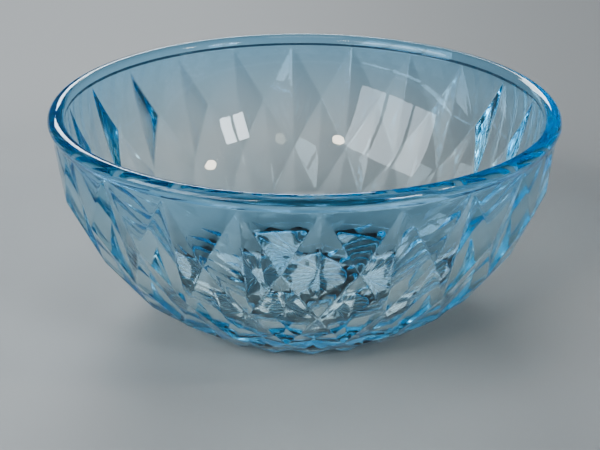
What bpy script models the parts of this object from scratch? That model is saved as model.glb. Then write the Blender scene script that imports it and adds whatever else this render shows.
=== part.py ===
"""Pressed glass bowl: one solid piece of pale blue glass.

The bowl is round and open at the top. Its inside is smooth. Its outside is
covered by a lattice of tall lozenges in staggered rows, each one a shallow
V-shaped cut with two flat facets. A plain band and a thick rounded lip sit
above the lattice. The underside has a flat standing ring with a toothed edge
and a slightly sunken sunburst of shallow petals.

Metres, +Z up. The bowl's axis is the Z axis and it stands on Z = 0.
"""

import math

import bmesh
import bpy
from mathutils import Vector

MM = 0.001

# Driving dimensions, in millimetres.
RIM_RADIUS = 112.5
HEIGHT = 97.0
LIP_THICKNESS = 7.4
LOZENGES_AROUND = 22

# Crossing points of the lattice, from the top tips down to the base tips.
# Each pair is the radius and the height above the table.
LATTICE_ROWS = (
    (111.0, 90.5),
    (108.0, 63.0),
    (96.5, 39.0),
    (81.0, 18.8),
    (70.0, 10.6),
    (63.5, 6.8),
    (55.0, 0.0),
)

# The plain band runs out to the lip through this radius and height.
SHOULDER = (112.0, 92.0)

# Radius of the base edge half way between two base tips.
BASE_NOTCH_RADIUS = 47.5

# Smooth inside: one curve from the lip down to the middle of the floor.
INSIDE_RADIUS = 105.1
FLOOR_THICKNESS = 7.6
INSIDE_FULLNESS = 3.88
INSIDE_ROUNDING = 1.45

# Underside: a toothed standing ring, a small step up and a sunburst of petals.
SUNBURST_RADIUS = 45.0
SUNBURST_RECESS = 0.8
STEP_WIDTH = 1.2
PETAL_DEPTH = 1.0
PETALS_AROUND = 22
PETAL_SHARE = 0.80

# Mesh fineness: steps per half lozenge, and steps along each smooth part.
STEPS_PER_CELL = 2
LIP_STEPS = 8
INSIDE_STEPS = 14
PETAL_END_STEPS = 3

NODE_NAME = "glass_bowl"
HALF_TURN = math.pi / LOZENGES_AROUND
COLUMNS = LOZENGES_AROUND * 2 * STEPS_PER_CELL
LAST_ROW = len(LATTICE_ROWS) - 1


def polar(radius, height, column):
    """Point at a radius and height, on the meridian of a lattice column."""
    angle = column * HALF_TURN
    return Vector((radius * math.sin(angle), -radius * math.cos(angle), height))


def corner(column, row):
    """Crossing point of the lattice, where two rows of lozenges meet."""
    radius, height = LATTICE_ROWS[row]
    return polar(radius, height, column)


def band_point(column, row):
    """Point of the smooth band that runs down between the top lozenges."""
    upper = LATTICE_ROWS[0]
    lower = LATTICE_ROWS[1]
    radius = upper[0] + (lower[0] - upper[0]) * row
    height = upper[1] + (lower[1] - upper[1]) * row
    return polar(radius, height, column)


def lozenge_centre(column, row):
    """Whole-number centre of the lozenge that holds a lattice position."""
    choices = []
    for near_column in (math.floor(column), math.floor(column) + 1):
        for near_row in (math.floor(row), math.floor(row) + 1):
            odd = (near_column + near_row) % 2 == 1
            if odd and 0 <= near_row <= LAST_ROW:
                gap = abs(column - near_column) + abs(row - near_row)
                choices.append((gap, near_column, near_row))
    return min(choices)[1:]


def facet_point(column, row):
    """Point of the outside wall at a lattice position.

    Inside a lozenge the surface runs straight from the bottom of the V cut,
    which joins the top and bottom tips, to the edge shared with a neighbour.
    """
    mid_column, mid_row = lozenge_centre(column, row)
    if mid_row == 0:
        return band_point(column, row)
    across = column - mid_column
    along = row - mid_row
    side = 1 if across >= 0 else -1
    top = corner(mid_column, mid_row - 1)
    flank = corner(mid_column + side, mid_row)
    if mid_row == LAST_ROW:
        bottom = polar(BASE_NOTCH_RADIUS, 0.0, mid_column)
        cut = top.lerp(bottom, 1.0 + along)
    else:
        bottom = corner(mid_column, mid_row + 1)
        cut = top.lerp(bottom, 0.5 * (1.0 + along))
    if along <= 0:
        edge = top.lerp(flank, 1.0 + along)
        if mid_row == 1:
            edge = band_point(mid_column + side * (1.0 + along), row)
    else:
        edge = flank.lerp(bottom, along)
    room = 1.0 - abs(along)
    if room < 1e-9:
        return cut
    return cut.lerp(edge, abs(across) / room)


def inside_profile():
    """Radius and height pairs of the inside, from below the lip to the axis."""
    depth = HEIGHT - LIP_THICKNESS / 2.0 - FLOOR_THICKNESS
    profile = []
    for step in range(INSIDE_STEPS - 1, -1, -1):
        share = math.sin(0.5 * math.pi * step / INSIDE_STEPS)
        rise = 1.0 - (1.0 - share**INSIDE_FULLNESS) ** (1.0 / INSIDE_ROUNDING)
        profile.append((INSIDE_RADIUS * share, FLOOR_THICKNESS + depth * rise))
    return profile


def lip_profile():
    """Half-round lip, from the outer side over the top to the inner side."""
    half = LIP_THICKNESS / 2.0
    profile = []
    for step in range(LIP_STEPS + 1):
        angle = math.pi * step / LIP_STEPS
        radius = RIM_RADIUS - half + half * math.cos(angle)
        profile.append((radius, HEIGHT - half + half * math.sin(angle)))
    return profile


def petal_width():
    """Half the width of a petal at its outer end."""
    return PETAL_SHARE * math.pi * SUNBURST_RADIUS / PETALS_AROUND


def underside_height(radius, column):
    """Height of the underside; narrow ribs stand between sunken petals.

    A petal has a flat middle, steep sides and a rounded outer end.
    """
    turn = column / (2.0 * LOZENGES_AROUND) * PETALS_AROUND
    across = (2.0 * (turn - math.floor(turn)) - 1.0) / PETAL_SHARE
    past = max(0.0, radius - (SUNBURST_RADIUS - petal_width())) / petal_width()
    hollow = max(0.0, 1.0 - (across**2 + past**2) ** 2)
    return SUNBURST_RECESS + PETAL_DEPTH * hollow * radius / SUNBURST_RADIUS


def petal_ring(radius):
    """One ring of the sunburst as a function of the lattice column."""
    return lambda column: polar(radius, underside_height(radius, column), column)


def plain_ring(radius, height):
    """One ring of a smooth round surface."""
    return lambda column: polar(radius, height, column)


def lattice_ring(row):
    """One ring of the faceted outside wall."""
    return lambda column: facet_point(column, row)


def all_rings():
    """Rings from the middle of the underside, round the lip, to the floor."""
    hub = SUNBURST_RADIUS - petal_width()
    rings = [petal_ring(hub * share) for share in (0.0, 1.0 / 3.0, 2.0 / 3.0)]
    for step in range(PETAL_END_STEPS + 1):
        rings.append(petal_ring(hub + petal_width() * step / PETAL_END_STEPS))
    rings.append(plain_ring(SUNBURST_RADIUS + STEP_WIDTH, 0.0))
    first_lattice = len(rings)
    for step in range(LAST_ROW * STEPS_PER_CELL, -1, -1):
        rings.append(lattice_ring(step / STEPS_PER_CELL))
    rings.append(plain_ring(*SHOULDER))
    for radius, height in lip_profile() + inside_profile():
        rings.append(plain_ring(radius, height))
    return rings, first_lattice


def split_facets(bm, places, first_lattice):
    """Split the lattice cells along the edges of the lozenges."""
    last_lattice = first_lattice + LAST_ROW * STEPS_PER_CELL
    for face in list(bm.faces):
        spots = {places[vert]: vert for vert in face.verts}
        column = min(spot[0] for spot in spots)
        ring = min(spot[1] for spot in spots)
        if not first_lattice <= ring < last_lattice:
            continue
        row = LAST_ROW - (ring - first_lattice + 0.5) / STEPS_PER_CELL
        cell = math.floor(column / STEPS_PER_CELL) + math.floor(row)
        if cell % 2 == 0:
            ends = ((column, ring + 1), (column + 1, ring))
        else:
            ends = ((column, ring), (column + 1, ring + 1))
        bmesh.utils.face_split(face, spots[ends[0]], spots[ends[1]])


def build_bowl():
    """The whole bowl as one closed mesh."""
    rings, first_lattice = all_rings()
    bm = bmesh.new()
    bmesh.ops.create_grid(bm, x_segments=COLUMNS, y_segments=len(rings) - 1, size=1.0)
    places = {}
    for vert in bm.verts:
        column = round((vert.co.x + 1.0) / 2.0 * COLUMNS)
        ring = round((vert.co.y + 1.0) / 2.0 * (len(rings) - 1))
        places[vert] = (column, ring)
    split_facets(bm, places, first_lattice)
    for vert, (column, ring) in places.items():
        vert.co = rings[ring](column / STEPS_PER_CELL) * MM
    bmesh.ops.remove_doubles(bm, verts=bm.verts, dist=1e-6)
    bmesh.ops.recalc_face_normals(bm, faces=bm.faces)
    return bm


def glass_material():
    """Pale ice-blue glass."""
    material = bpy.data.materials.new("pale_blue_glass")
    material.use_nodes = True
    shader = material.node_tree.nodes["Principled BSDF"]
    shader.inputs["Base Color"].default_value = (0.55, 0.78, 0.93, 1.0)
    shader.inputs["Roughness"].default_value = 0.05
    shader.inputs["Metallic"].default_value = 0.0
    shader.inputs["IOR"].default_value = 1.51
    return material


def main():
    """Clear the scene and build the bowl."""
    for thing in list(bpy.data.objects):
        bpy.data.objects.remove(thing, do_unlink=True)
    home = bpy.data.collections.new("pressed_glass_bowl")
    bpy.context.scene.collection.children.link(home)
    bm = build_bowl()
    mesh = bpy.data.meshes.new(NODE_NAME)
    bm.to_mesh(mesh)
    bm.free()
    mesh.shade_smooth()
    mesh.set_sharp_from_angle(angle=math.radians(6.0))
    bowl = bpy.data.objects.new(NODE_NAME, mesh)
    bowl.data.materials.append(glass_material())
    home.objects.link(bowl)


main()
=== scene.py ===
"""Finished look of a pressed glass bowl in pale ice blue.

The bowl is one piece of glass: a smooth inside, a thick rounded lip, a plain
band, a wall of staggered lozenges cut as shallow Vs, and a sunburst of petals
under the base. It stands on a pale floor in soft studio light.
"""

import logging
import math
from dataclasses import dataclass
from enum import Enum
from typing import Callable

import bmesh
import bpy
from mathutils import Matrix, Vector

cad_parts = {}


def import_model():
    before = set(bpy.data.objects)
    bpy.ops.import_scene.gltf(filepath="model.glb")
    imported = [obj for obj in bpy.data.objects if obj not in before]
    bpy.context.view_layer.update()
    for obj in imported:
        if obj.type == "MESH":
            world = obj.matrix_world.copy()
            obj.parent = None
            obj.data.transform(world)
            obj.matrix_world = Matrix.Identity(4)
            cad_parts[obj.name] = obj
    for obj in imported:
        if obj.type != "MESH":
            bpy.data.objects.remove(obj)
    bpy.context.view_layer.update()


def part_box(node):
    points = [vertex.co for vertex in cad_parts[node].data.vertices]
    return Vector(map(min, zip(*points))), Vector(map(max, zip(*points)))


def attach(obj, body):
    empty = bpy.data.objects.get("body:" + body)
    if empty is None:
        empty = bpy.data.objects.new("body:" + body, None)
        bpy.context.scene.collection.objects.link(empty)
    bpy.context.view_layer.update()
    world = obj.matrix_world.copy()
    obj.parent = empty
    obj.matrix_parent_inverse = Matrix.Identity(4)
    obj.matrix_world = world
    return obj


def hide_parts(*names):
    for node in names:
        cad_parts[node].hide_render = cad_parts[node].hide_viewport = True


LOG = logging.getLogger("bowl")
MM = 0.001

# Points closer than this, in metres, are one point.
WELD = 1e-6

# A share of a lozenge smaller than this is nothing.
TINY = 1e-9

Ring = Callable[[float], Vector]
Pair = tuple[float, float]
Colour = tuple[float, float, float, float]


class LampRole(Enum):
    """What each studio lamp is for."""

    BACK = "back"
    WINDOW = "window"
    SIDE = "side"
    NEAR_LEFT = "near_left"
    NEAR_RIGHT = "near_right"
    TOP = "top"


@dataclass
class LozengeLattice:
    """The faceted outside wall, in millimetres.

    A lattice position is a column, counted in half lozenges around the bowl
    from the front, and a row, counted down from the top tips.
    """

    around: int = 22
    rows: tuple[Pair, ...] = (
        (111.0, 90.5),
        (108.0, 63.0),
        (96.5, 39.0),
        (81.0, 18.8),
        (70.0, 10.6),
        (63.5, 6.8),
        (55.0, 0.0),
    )
    base_notch_radius: float = 47.5
    steps: int = 8

    @property
    def last(self) -> int:
        """Number of the lowest row."""
        return len(self.rows) - 1

    @property
    def columns(self) -> int:
        """Number of mesh columns around the bowl."""
        return self.around * 2 * self.steps

    def polar(self, radius: float, height: float, column: float) -> Vector:
        """Place a radius and height on the meridian of a lattice column."""
        angle = column * math.pi / self.around
        return Vector((radius * math.sin(angle), -radius * math.cos(angle), height))

    def corner(self, column: float, row: int) -> Vector:
        """Give the crossing point where two rows of lozenges meet."""
        radius, height = self.rows[row]
        return self.polar(radius, height, column)

    def band_point(self, column: float, row: float) -> Vector:
        """Give a point of the smooth band between the top lozenges.

        Args:
            column: Lattice column.
            row: Lattice row, from 0 to 1.

        Returns:
            The point, in millimetres.
        """
        upper, lower = self.rows[0], self.rows[1]
        radius = upper[0] + (lower[0] - upper[0]) * row
        height = upper[1] + (lower[1] - upper[1]) * row
        return self.polar(radius, height, column)

    def centre(self, column: float, row: float) -> tuple[int, int]:
        """Find the middle of the lozenge that holds a lattice position.

        Args:
            column: Lattice column.
            row: Lattice row.

        Returns:
            The middle's whole-number column and row.
        """
        choices = []
        for near_column in (math.floor(column), math.floor(column) + 1):
            for near_row in (math.floor(row), math.floor(row) + 1):
                odd = (near_column + near_row) % 2 == 1
                if odd and 0 <= near_row <= self.last:
                    gap = abs(column - near_column) + abs(row - near_row)
                    choices.append((gap, near_column, near_row))
        return min(choices)[1:]

    def facet_point(self, column: float, row: float) -> Vector:
        """Give a point of the wall.

        The surface runs straight from the bottom of the V cut, which joins
        the top and bottom tips, to the edge shared with a neighbour.

        Args:
            column: Lattice column.
            row: Lattice row.

        Returns:
            The point, in millimetres.
        """
        mid_column, mid_row = self.centre(column, row)
        if mid_row == 0:
            return self.band_point(column, row)
        across = column - mid_column
        along = row - mid_row
        side = 1 if across >= 0 else -1
        top = self.corner(mid_column, mid_row - 1)
        flank = self.corner(mid_column + side, mid_row)
        if mid_row == self.last:
            bottom = self.polar(self.base_notch_radius, 0.0, mid_column)
            cut = top.lerp(bottom, 1.0 + along)
        else:
            bottom = self.corner(mid_column, mid_row + 1)
            cut = top.lerp(bottom, 0.5 * (1.0 + along))
        if along > 0:
            edge = flank.lerp(bottom, along)
        elif mid_row == 1:
            edge = self.band_point(mid_column + side * (1.0 + along), row)
        else:
            edge = top.lerp(flank, 1.0 + along)
        room = 1.0 - abs(along)
        if room < TINY:
            return cut
        return cut.lerp(edge, abs(across) / room)

    def ring(self, step: int) -> Ring:
        """Give one ring of the wall, counted in mesh steps from the top."""
        return lambda column: self.facet_point(column, step / self.steps)

    def rings(self) -> list[Ring]:
        """Give the wall's rings from the base up to the top tips."""
        return [self.ring(step) for step in range(self.last * self.steps, -1, -1)]


@dataclass
class RoundedLip:
    """The thick half-round lip and the last of the plain band, in millimetres."""

    radius: float
    top: float
    thickness: float = 7.4
    shoulder: Pair = (112.0, 92.0)
    steps: int = 20

    def profile(self) -> list[Pair]:
        """Give the section from the outer shoulder over the top to the inside.

        Returns:
            The radius and height of each point.
        """
        half = self.thickness / 2.0
        section = [self.shoulder]
        for step in range(self.steps + 1):
            angle = math.pi * step / self.steps
            radius = self.radius - half + half * math.cos(angle)
            section.append((radius, self.top - half + half * math.sin(angle)))
        return section


@dataclass
class SmoothInside:
    """The plain inside, one curve from the lip to the middle, in millimetres."""

    radius: float
    top: float
    floor: float = 7.6
    fullness: float = 3.88
    rounding: float = 1.45
    steps: int = 56

    def profile(self) -> list[Pair]:
        """Give the section below the lip, down to the middle of the floor.

        Returns:
            The radius and height of each point.
        """
        section = []
        for step in range(self.steps - 1, -1, -1):
            share = math.sin(0.5 * math.pi * step / self.steps)
            rise = 1.0 - (1.0 - share**self.fullness) ** (1.0 / self.rounding)
            section.append((self.radius * share, self.floor + (self.top - self.floor) * rise))
        return section


@dataclass
class SunburstBase:
    """The flat standing ring and the sunburst of petals, in millimetres."""

    radius: float = 45.0
    recess: float = 0.8
    step_width: float = 1.2
    depth: float = 1.0
    petals: int = 22
    petal_share: float = 0.80
    hub_steps: int = 12
    rim_steps: int = 10

    def height(self, radius: float, turn: float) -> float:
        """Give the height of the underside.

        Each petal is a shallow hollow with a flat middle, steep sides and a
        rounded outer end, and a narrow rib stands between two petals.

        Args:
            radius: Distance from the bowl's axis.
            turn: Turn around the axis, where 1 is a full turn.

        Returns:
            The height above the table.
        """
        share = turn * self.petals
        across = (2.0 * (share - math.floor(share)) - 1.0) / self.petal_share
        half = self.petal_share * math.pi * self.radius / self.petals
        past = max(0.0, radius - (self.radius - half)) / half
        reach = across**2 + past**2
        hollow = max(0.0, 1.0 - reach**2)
        return self.recess + self.depth * hollow * radius / self.radius

    def petal_ring(self, lattice: LozengeLattice, radius: float) -> Ring:
        """Give one ring of the sunburst."""
        return lambda column: lattice.polar(
            radius, self.height(radius, column / (2.0 * lattice.around)), column
        )

    def rings(self, lattice: LozengeLattice) -> list[Ring]:
        """Give the rings from the middle out to the standing ring.

        Args:
            lattice: The wall, whose columns the rings share.

        Returns:
            The rings, the middle first.
        """
        hub = self.radius - math.pi * self.radius / self.petals
        radii = [hub * step / self.hub_steps for step in range(self.hub_steps)]
        for step in range(self.rim_steps + 1):
            radii.append(hub + (self.radius - hub) * step / self.rim_steps)
        rings = [self.petal_ring(lattice, radius) for radius in radii]
        land = self.radius + self.step_width
        rings.append(lambda column: lattice.polar(land, 0.0, column))
        return rings


class NodeGroups:
    """Node groups that the finishes share, each built once."""

    # Pips: how many cells to a metre, a pip's share of its cell, and how rare they are.
    PIP_SCALE = 130.0
    PIP_SIZE = 0.06
    PIP_PATCH_SCALE = 55.0
    PIP_PATCH_LEVEL = 0.60

    # Slow drift of the colour.
    CLOUD_SCALE = 14.0
    CLOUD_DETAIL = 2.0

    # Detail of the slow ripple and of the fine chill marks.
    SLOW_DETAIL = 1.0
    FINE_DETAIL = 2.0

    # Scuffs under the foot: fine grit that starts at a level and sharpens quickly.
    GRIT_SCALE = 420.0
    GRIT_DETAIL = 4.0
    GRIT_LEVEL = 0.38
    GRIT_CONTRAST = 4.0

    # Film left by handling: broad smears.
    SMEAR_SCALE = 22.0
    SMEAR_DETAIL = 3.0
    SMEAR_LEVEL = 0.52
    SMEAR_CONTRAST = 5.0

    @staticmethod
    def start(
        name: str, inputs: dict[str, tuple[str, object]], outputs: dict[str, str]
    ) -> tuple[bpy.types.NodeTree, bpy.types.Node, bpy.types.Node] | None:
        """Open a new node group with its sockets.

        Args:
            name: The group's name.
            inputs: Each input's socket type and default value.
            outputs: Each output's socket type.

        Returns:
            The tree, its input node and its output node, or None where the
            group is there already.
        """
        if name in bpy.data.node_groups:
            return None
        tree = bpy.data.node_groups.new(name, "ShaderNodeTree")
        for label, (kind, value) in inputs.items():
            socket = tree.interface.new_socket(label, in_out="INPUT", socket_type=kind)
            socket.default_value = value
        for label, kind in outputs.items():
            tree.interface.new_socket(label, in_out="OUTPUT", socket_type=kind)
        return tree, tree.nodes.new("NodeGroupInput"), tree.nodes.new("NodeGroupOutput")

    @staticmethod
    def maths(
        tree: bpy.types.NodeTree, operation: str, first: object, second: object, clamp: bool = False
    ) -> bpy.types.NodeSocket:
        """Add a Math node whose inputs are sockets or numbers.

        Args:
            tree: The tree that gets the node.
            operation: The Math node's operation.
            first: A socket or a number.
            second: A socket or a number.
            clamp: Whether the result is kept between 0 and 1.

        Returns:
            The result's socket.
        """
        node = tree.nodes.new("ShaderNodeMath")
        node.operation = operation
        node.use_clamp = clamp
        for slot, value in ((0, first), (1, second)):
            if isinstance(value, bpy.types.NodeSocket):
                tree.links.new(value, node.inputs[slot])
            else:
                node.inputs[slot].default_value = value
        return node.outputs[0]

    @staticmethod
    def noise(tree: bpy.types.NodeTree, scale: object, detail: float) -> bpy.types.NodeSocket:
        """Add noise on Object coordinates.

        Args:
            tree: The tree that gets the nodes.
            scale: A socket or a number.
            detail: The noise's detail.

        Returns:
            The noise value's socket.
        """
        place = tree.nodes.new("ShaderNodeTexCoord")
        node = tree.nodes.new("ShaderNodeTexNoise")
        tree.links.new(place.outputs["Object"], node.inputs["Vector"])
        if isinstance(scale, bpy.types.NodeSocket):
            tree.links.new(scale, node.inputs["Scale"])
        else:
            node.inputs["Scale"].default_value = scale
        node.inputs["Detail"].default_value = detail
        return node.outputs["Fac"]

    @classmethod
    def pips(cls, tree: bpy.types.NodeTree) -> bpy.types.NodeSocket:
        """Add a few scattered pips, as small bubbles leave at the surface.

        Args:
            tree: The tree that gets the nodes.

        Returns:
            The pips' height, from 0 to 1.
        """
        place = tree.nodes.new("ShaderNodeTexCoord")
        cells = tree.nodes.new("ShaderNodeTexVoronoi")
        cells.inputs["Scale"].default_value = cls.PIP_SCALE
        tree.links.new(place.outputs["Object"], cells.inputs["Vector"])
        near = cls.maths(tree, "SUBTRACT", cls.PIP_SIZE, cells.outputs["Distance"])
        near = cls.maths(tree, "DIVIDE", near, cls.PIP_SIZE, clamp=True)
        patch = cls.noise(tree, cls.PIP_PATCH_SCALE, 0.0)
        patch = cls.maths(tree, "GREATER_THAN", patch, cls.PIP_PATCH_LEVEL)
        return cls.maths(tree, "MULTIPLY", near, patch)

    @classmethod
    def height_fade(cls) -> bpy.types.NodeTree:
        """Build the group that fades one colour into another with height.

        Returns:
            The node group.
        """
        name = "height_fade"
        opened = cls.start(
            name,
            {
                "Low Colour": ("NodeSocketColor", (1.0, 1.0, 1.0, 1.0)),
                "High Colour": ("NodeSocketColor", (0.5, 0.7, 1.0, 1.0)),
                "Low": ("NodeSocketFloat", 0.02),
                "High": ("NodeSocketFloat", 0.09),
                "Cloud": ("NodeSocketFloat", 0.1),
            },
            {"Colour": "NodeSocketColor"},
        )
        if opened:
            tree, start, end = opened
            place = tree.nodes.new("ShaderNodeTexCoord")
            split = tree.nodes.new("ShaderNodeSeparateXYZ")
            tree.links.new(place.outputs["Object"], split.inputs[0])
            rise = cls.maths(tree, "SUBTRACT", split.outputs["Z"], start.outputs["Low"])
            span = cls.maths(tree, "SUBTRACT", start.outputs["High"], start.outputs["Low"])
            share = cls.maths(tree, "DIVIDE", rise, span, clamp=True)
            cloud = cls.noise(tree, cls.CLOUD_SCALE, cls.CLOUD_DETAIL)
            cloud = cls.maths(tree, "SUBTRACT", cloud, 0.5)
            drift = cls.maths(tree, "MULTIPLY", cloud, start.outputs["Cloud"])
            share = cls.maths(tree, "ADD", share, drift, clamp=True)
            mix = tree.nodes.new("ShaderNodeMix")
            mix.data_type = "RGBA"
            tree.links.new(share, mix.inputs["Factor"])
            tree.links.new(start.outputs["Low Colour"], mix.inputs[6])
            tree.links.new(start.outputs["High Colour"], mix.inputs[7])
            tree.links.new(mix.outputs[2], end.inputs["Colour"])
        return bpy.data.node_groups[name]

    @classmethod
    def mould_ripple(cls) -> bpy.types.NodeTree:
        """Build the group for a mould's slow ripple, fine chill marks and pips.

        Returns:
            The node group.
        """
        name = "mould_ripple"
        opened = cls.start(
            name,
            {"Slow": ("NodeSocketFloat", 30.0), "Fine": ("NodeSocketFloat", 240.0),
             "Fine Share": ("NodeSocketFloat", 0.08), "Pips": ("NodeSocketFloat", 0.5)},
            {"Height": "NodeSocketFloat"},
        )
        if opened:
            tree, start, end = opened
            slow = cls.noise(tree, start.outputs["Slow"], cls.SLOW_DETAIL)
            fine = cls.noise(tree, start.outputs["Fine"], cls.FINE_DETAIL)
            fine = cls.maths(tree, "MULTIPLY", fine, start.outputs["Fine Share"])
            pips = cls.maths(tree, "MULTIPLY", cls.pips(tree), start.outputs["Pips"])
            total = cls.maths(tree, "ADD", cls.maths(tree, "ADD", slow, fine), pips)
            tree.links.new(total, end.inputs["Height"])
        return bpy.data.node_groups[name]

    @classmethod
    def foot_wear(cls) -> bpy.types.NodeTree:
        """Build the group for a film of handling and the scuffs under the foot.

        Returns:
            The node group.
        """
        name = "foot_wear"
        opened = cls.start(
            name,
            {"Polish": ("NodeSocketFloat", 0.01), "Film": ("NodeSocketFloat", 0.02),
             "Scuff": ("NodeSocketFloat", 0.3), "Reach": ("NodeSocketFloat", 0.0009)},
            {"Roughness": "NodeSocketFloat"},
        )
        if opened:
            tree, start, end = opened
            place = tree.nodes.new("ShaderNodeTexCoord")
            split = tree.nodes.new("ShaderNodeSeparateXYZ")
            tree.links.new(place.outputs["Object"], split.inputs[0])
            near = cls.maths(tree, "SUBTRACT", start.outputs["Reach"], split.outputs["Z"])
            near = cls.maths(tree, "DIVIDE", near, start.outputs["Reach"], clamp=True)
            grit = cls.noise(tree, cls.GRIT_SCALE, cls.GRIT_DETAIL)
            grit = cls.maths(tree, "SUBTRACT", grit, cls.GRIT_LEVEL)
            grit = cls.maths(tree, "MULTIPLY", grit, cls.GRIT_CONTRAST, clamp=True)
            scuff = cls.maths(tree, "MULTIPLY", cls.maths(tree, "MULTIPLY", near, grit),
                              start.outputs["Scuff"])
            smear = cls.noise(tree, cls.SMEAR_SCALE, cls.SMEAR_DETAIL)
            smear = cls.maths(tree, "SUBTRACT", smear, cls.SMEAR_LEVEL)
            smear = cls.maths(tree, "MULTIPLY", smear, cls.SMEAR_CONTRAST, clamp=True)
            film = cls.maths(tree, "MULTIPLY", smear, start.outputs["Film"])
            total = cls.maths(tree, "ADD", cls.maths(tree, "ADD", film, scuff),
                              start.outputs["Polish"])
            tree.links.new(total, end.inputs["Roughness"])
        return bpy.data.node_groups[name]


@dataclass(frozen=True)
class BlueGlass:
    """Fire-polished glass, pale aqua at the foot and azure at the rim; the rim's azure is partly the
    glass's own colour and partly painted sky light.
    """

    name: str = "pale_blue_glass"
    body: Colour = (0.42, 0.86, 0.985, 1.0)
    density: float = 20.0
    refraction: float = 1.51
    foot_tint: Colour = (0.965, 1.0, 1.0, 1.0)
    # Azure at the rim: partly the glass's own colour, partly painted sky light.
    rim_tint_with_painted_sky: Colour = (0.44, 0.77, 1.0, 1.0)
    fade_low: float = 0.050
    fade_high: float = 0.099
    cloud: float = 0.12
    ripple: float = 0.10
    ripple_height: float = 0.001
    ripple_scale: float = 34.0
    polish: float = 0.004
    film: float = 0.012

    def place(
        self, tree: bpy.types.NodeTree, group: bpy.types.NodeTree, values: dict[str, object]
    ) -> bpy.types.Node:
        """Place a node group in the material with its own values.

        Args:
            tree: The material's tree.
            group: The node group.
            values: The value of each named input.

        Returns:
            The group's node.
        """
        node = tree.nodes.new("ShaderNodeGroup")
        node.node_tree = group
        for label, value in values.items():
            node.inputs[label].default_value = value
        return node

    def make(self) -> bpy.types.Material:
        """Build the material.

        Returns:
            The glass, with its body colour, a rim colour that is partly painted sky light, ripple and
            foot wear.
        """
        material = bpy.data.materials.new(self.name)
        material.use_nodes = True
        tree = material.node_tree
        shader = tree.nodes["Principled BSDF"]
        shader.inputs["Transmission Weight"].default_value = 1.0
        shader.inputs["IOR"].default_value = self.refraction
        shader.inputs["Metallic"].default_value = 0.0
        # The colour fades from the foot tint up to the rim tint, whose azure is partly painted sky
        # light.
        fade = self.place(tree, NodeGroups.height_fade(), {
            "Low Colour": self.foot_tint,
            "High Colour": self.rim_tint_with_painted_sky,
            "Low": self.fade_low,
            "High": self.fade_high,
            "Cloud": self.cloud,
        })
        tree.links.new(fade.outputs["Colour"], shader.inputs["Base Color"])
        wear = self.place(tree, NodeGroups.foot_wear(), {"Polish": self.polish, "Film": self.film})
        tree.links.new(wear.outputs["Roughness"], shader.inputs["Roughness"])
        ripple = self.place(tree, NodeGroups.mould_ripple(), {"Slow": self.ripple_scale})
        bump = tree.nodes.new("ShaderNodeBump")
        bump.inputs["Strength"].default_value = self.ripple
        bump.inputs["Distance"].default_value = self.ripple_height
        tree.links.new(ripple.outputs["Height"], bump.inputs["Height"])
        tree.links.new(bump.outputs["Normal"], shader.inputs["Normal"])
        volume = tree.nodes.new("ShaderNodeVolumeAbsorption")
        volume.inputs["Color"].default_value = self.body
        volume.inputs["Density"].default_value = self.density
        output = tree.nodes["Material Output"]
        tree.links.new(volume.outputs["Volume"], output.inputs["Volume"])
        return material


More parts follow.
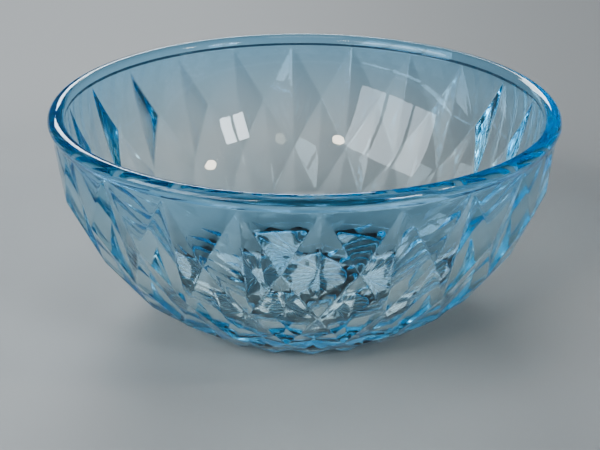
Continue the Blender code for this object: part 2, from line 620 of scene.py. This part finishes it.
@dataclass
class PressedBowl:
    """The whole bowl, made as one closed body of glass."""

    lattice: LozengeLattice
    lip: RoundedLip
    inside: SmoothInside
    base: SunburstBase
    finish: BlueGlass
    arris: float = 0.4
    arris_angle: float = 2.6
    tip_margin: float = 0.3
    land_margin: float = 0.2
    crease_angle: float = 40.0
    flat_weight: int = 50

    def rings(self) -> tuple[list[Ring], int]:
        """List every ring of the bowl's surface.

        Returns:
            The rings from the middle of the underside, up the wall, over the
            lip and down to the middle of the floor, and the number of the
            first ring of the faceted wall.
        """
        rings = self.base.rings(self.lattice)
        first = len(rings)
        rings += self.lattice.rings()
        for radius, height in self.lip.profile() + self.inside.profile():
            rings.append(lambda column, r=radius, h=height: self.lattice.polar(r, h, column))
        return rings, first

    def split_facets(
        self, bm: bmesh.types.BMesh, places: dict[bmesh.types.BMVert, tuple[int, int]], first: int
    ) -> None:
        """Split the wall's cells along the edges of the lozenges.

        Args:
            bm: The flat grid.
            places: The column and ring of each vertex.
            first: The number of the first ring of the faceted wall.
        """
        steps = self.lattice.steps
        for face in list(bm.faces):
            spots = {places[vert]: vert for vert in face.verts}
            column = min(spot[0] for spot in spots)
            ring = min(spot[1] for spot in spots)
            if not first <= ring < first + self.lattice.last * steps:
                continue
            row = self.lattice.last - (ring - first + 0.5) / steps
            cell = column // steps + math.floor(row)
            if cell % 2 == 0:
                ends = ((column, ring + 1), (column + 1, ring))
            else:
                ends = ((column, ring), (column + 1, ring + 1))
            bmesh.utils.face_split(face, spots[ends[0]], spots[ends[1]])

    def build_mesh(self) -> bmesh.types.BMesh:
        """Build the closed surface.

        Returns:
            The mesh in metres, with softened edges.
        """
        rings, first = self.rings()
        columns = self.lattice.columns
        count = len(rings) - 1
        bm = bmesh.new()
        bmesh.ops.create_grid(bm, x_segments=columns, y_segments=count, size=1.0)
        weights = bm.verts.layers.deform.verify()
        places = {}
        for vert in bm.verts:
            column = round((vert.co.x + 1.0) / 2.0 * columns)
            ring = round((vert.co.y + 1.0) / 2.0 * count)
            places[vert] = (column, ring)
        self.split_facets(bm, places, first)
        last = first + self.lattice.last * self.lattice.steps
        for vert, (column, ring) in places.items():
            vert.co = rings[ring](column / self.lattice.steps) * MM
            vert[weights][0] = 1.0 if first - 1 <= ring <= last + 1 else 0.0
        bmesh.ops.remove_doubles(bm, verts=bm.verts, dist=WELD)
        bmesh.ops.recalc_face_normals(bm, faces=bm.faces)
        self.soften_edges(bm)
        return bm

    def soften_edges(self, bm: bmesh.types.BMesh) -> None:
        """Round every arris of the wall a little, as fire polishing leaves it.

        Args:
            bm: The closed surface, in metres.
        """
        limit = math.radians(self.arris_angle)
        highest = (self.lattice.rows[0][1] + self.tip_margin) * MM
        innermost = (self.base.radius + self.land_margin) * MM
        sharp = []
        for edge in bm.edges:
            middle = (edge.verts[0].co + edge.verts[1].co) / 2.0
            on_wall = middle.z <= highest and math.hypot(middle.x, middle.y) >= innermost
            if on_wall and edge.calc_face_angle(0.0) > limit:
                sharp.append(edge)
        bmesh.ops.bevel(
            bm,
            geom=sharp,
            offset=self.arris * MM,
            offset_type="OFFSET",
            segments=2,
            profile=0.5,
            affect="EDGES",
            clamp_overlap=True,
            material=-1,
        )
        bmesh.ops.triangulate(bm, faces=[face for face in bm.faces if len(face.verts) > 4])

    def make(self) -> bpy.types.Object:
        """Build and dress the bowl.

        Returns:
            The finished piece.
        """
        bm = self.build_mesh()
        open_edges = sum(not edge.is_manifold for edge in bm.edges)
        LOG.info("bowl: %d faces, %d open edges", len(bm.faces), open_edges)
        mesh = bpy.data.meshes.new("pressed_bowl")
        bm.to_mesh(mesh)
        bm.free()
        mesh.shade_smooth()
        mesh.set_sharp_from_angle(angle=math.radians(self.crease_angle))
        mesh.materials.append(self.finish.make())
        bowl = bpy.data.objects.new("pressed_bowl", mesh)
        bpy.context.scene.collection.objects.link(bowl)
        bowl.vertex_groups.new(name="facets")
        weighted = bowl.modifiers.new("facet_normals", "WEIGHTED_NORMAL")
        weighted.mode = "FACE_AREA_WITH_ANGLE"
        weighted.weight = self.flat_weight
        weighted.keep_sharp = True
        weighted.vertex_group = "facets"
        return bowl


@dataclass(frozen=True)
class Lamp:
    """One soft studio lamp, placed by its direction from the bowl.

    The azimuth is counted from the front towards the right, in degrees. The
    size is in metres, and the power, in watts, is shared by the lamp's panes.
    """

    role: LampRole
    azimuth: float
    elevation: float
    distance: float
    size: Pair
    power: float
    colour: tuple[float, float, float]
    shape: str = "RECTANGLE"
    panes: int = 1
    bar: float = 0.06
    aim_height: float = 0.05

    def make(self) -> None:
        """Hang the lamp, divided by narrow upright bars where it has panes."""
        width = (self.size[0] - self.bar * (self.panes - 1)) / self.panes
        for pane in range(self.panes):
            shift = (pane - (self.panes - 1) / 2.0) * (width + self.bar)
            self.make_pane(f"{self.role.value}_lamp_{pane + 1}", width, shift)

    def make_pane(self, name: str, width: float, shift: float) -> bpy.types.Object:
        """Hang one pane so that it faces the bowl.

        Args:
            name: The pane's name.
            width: The pane's width.
            shift: How far the pane stands to the side of the lamp's middle.

        Returns:
            The pane's object.
        """
        data = bpy.data.lights.new(name, "AREA")
        data.shape = self.shape
        data.size, data.size_y = width, self.size[1]
        data.energy = self.power / self.panes
        data.color = self.colour
        turn, rise = math.radians(self.azimuth), math.radians(self.elevation)
        arm = Vector((math.cos(rise) * math.sin(turn), -math.cos(rise) * math.cos(turn), math.sin(rise)))
        lamp = bpy.data.objects.new(name, data)
        along = Vector((math.cos(turn), math.sin(turn), 0.0)) * shift
        lamp.location = arm * self.distance + along + Vector((0.0, 0.0, self.aim_height))
        lamp.rotation_euler = (-arm).to_track_quat("-Z", "Y").to_euler()
        bpy.context.scene.collection.objects.link(lamp)
        return lamp


@dataclass
class Studio:
    """Pale floor, soft lamps and a dim room, so that the facets stand out."""

    floor_colour: Colour = (0.52, 0.515, 0.505, 1.0)
    floor_size: float = 4.0
    floor_roughness: float = 0.55
    room_colour: Colour = (0.70, 0.84, 1.0, 1.0)
    room_strength: float = 0.12
    glass_bounces: int = 32
    mirror_bounces: int = 24
    glare_limit: float = 3.0
    look: str = "AgX - High Contrast"
    lamps: tuple[Lamp, ...] = (
        Lamp(LampRole.BACK, 190.0, 27.0, 2.1, (1.2, 0.5), 11.0, (0.95, 0.98, 1.0)),
        Lamp(LampRole.SIDE, -58.0, 27.0, 2.0, (1.7, 1.0), 24.0, (0.82, 0.92, 1.0), panes=3),
        Lamp(LampRole.WINDOW, 40.0, 27.0, 2.1, (0.50, 0.42), 8.0, (0.86, 0.94, 1.0), panes=2),
        Lamp(LampRole.NEAR_LEFT, -26.0, 36.0, 2.0, (0.24, 0.17), 2.2, (1.0, 0.90, 0.74), "ELLIPSE"),
        Lamp(LampRole.NEAR_RIGHT, 66.0, 38.0, 2.0, (0.24, 0.17), 2.2, (1.0, 0.90, 0.74), "ELLIPSE"),
        Lamp(LampRole.TOP, 0.0, 87.0, 1.9, (0.6, 0.6), 2.0, (1.0, 1.0, 1.0)),
    )

    def make_floor(self) -> bpy.types.Object:
        """Lay the floor.

        Returns:
            The floor's object.
        """
        bm = bmesh.new()
        bmesh.ops.create_grid(bm, x_segments=1, y_segments=1, size=self.floor_size / 2.0)
        mesh = bpy.data.meshes.new("studio_floor")
        bm.to_mesh(mesh)
        bm.free()
        material = bpy.data.materials.new("pale_floor")
        material.use_nodes = True
        shader = material.node_tree.nodes["Principled BSDF"]
        shader.inputs["Base Color"].default_value = self.floor_colour
        shader.inputs["Roughness"].default_value = self.floor_roughness
        mesh.materials.append(material)
        floor = bpy.data.objects.new("studio_floor", mesh)
        bpy.context.scene.collection.objects.link(floor)
        return floor

    def make_background(self) -> bpy.types.World:
        """Fill the room with a dim cool light.

        Returns:
            The scene's world.
        """
        world = bpy.data.worlds.new("studio_air")
        bpy.context.scene.world = world
        world.use_nodes = True
        air = world.node_tree.nodes.get("Background")
        if air is None:
            air = world.node_tree.nodes.new("ShaderNodeBackground")
        air.inputs["Color"].default_value = self.room_colour
        air.inputs["Strength"].default_value = self.room_strength
        return world

    def set_light_paths(self) -> None:
        """Let light pass through many walls of glass, and hold back stray glare."""
        paths = bpy.context.scene.cycles
        paths.max_bounces = self.glass_bounces
        paths.transmission_bounces = self.glass_bounces
        paths.glossy_bounces = self.mirror_bounces
        paths.sample_clamp_indirect = self.glare_limit
        bpy.context.scene.view_settings.look = self.look

    def make(self) -> None:
        """Set up the floor, the room, the lamps and how light travels."""
        self.make_floor()
        self.make_background()
        for lamp in self.lamps:
            lamp.make()
        self.set_light_paths()


@dataclass
class Viewpoint:
    """The camera, a little to the left of the front and looking down.

    It stands on an arm from the pivot, and then dips, turns and rolls a
    little. Angles are in degrees, lengths in metres, the lens in millimetres.
    """

    azimuth: float = -3.42
    elevation: float = 18.51
    distance: float = 0.6197
    pivot_height: float = 0.097
    dip: float = 5.065
    turn: float = 0.16
    roll: float = -0.33
    lens: float = 83.8
    sensor: float = 36.0

    def make(self) -> bpy.types.Object:
        """Place the camera.

        Returns:
            The scene's camera.
        """
        around = Matrix.Rotation(math.radians(self.azimuth), 3, "Z")
        rise = math.radians(self.elevation)
        pivot = Vector((0.0, 0.0, self.pivot_height))
        arm = Vector((0.0, -math.cos(rise), math.sin(rise))) * self.distance
        ahead = -arm.normalized()
        right = Vector((1.0, 0.0, 0.0))
        above = right.cross(ahead)
        for angle, axis in ((self.turn, above), (-self.dip, right)):
            swing = Matrix.Rotation(math.radians(angle), 3, axis)
            ahead, right, above = swing @ ahead, swing @ right, swing @ above
        tilt = Matrix.Rotation(math.radians(self.roll), 3, ahead)
        right, above = around @ (tilt @ right), around @ (tilt @ above)
        ahead = around @ ahead
        place = pivot + around @ arm
        data = bpy.data.cameras.new("viewpoint")
        data.sensor_width = self.sensor
        data.lens = self.lens
        camera = bpy.data.objects.new("viewpoint", data)
        bpy.context.scene.collection.objects.link(camera)
        turn = Matrix((right, above, -ahead)).transposed()
        camera.matrix_world = Matrix.Translation(place) @ turn.to_4x4()
        bpy.context.scene.camera = camera
        return camera


def main() -> None:
    """Build the bowl and its studio."""
    logging.basicConfig(level=logging.INFO, format="%(name)s: %(message)s")
    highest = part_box("glass_bowl")[1]
    lip = RoundedLip(highest[0] / MM, highest[2] / MM)
    inside = SmoothInside(lip.radius - lip.thickness, lip.top - lip.thickness / 2.0)
    bowl = PressedBowl(LozengeLattice(), lip, inside, SunburstBase(), BlueGlass())
    piece = bowl.make()
    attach(piece, "root")
    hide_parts("glass_bowl")
    Studio().make()
    Viewpoint().make()


if __name__ == "__main__":
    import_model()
    main()
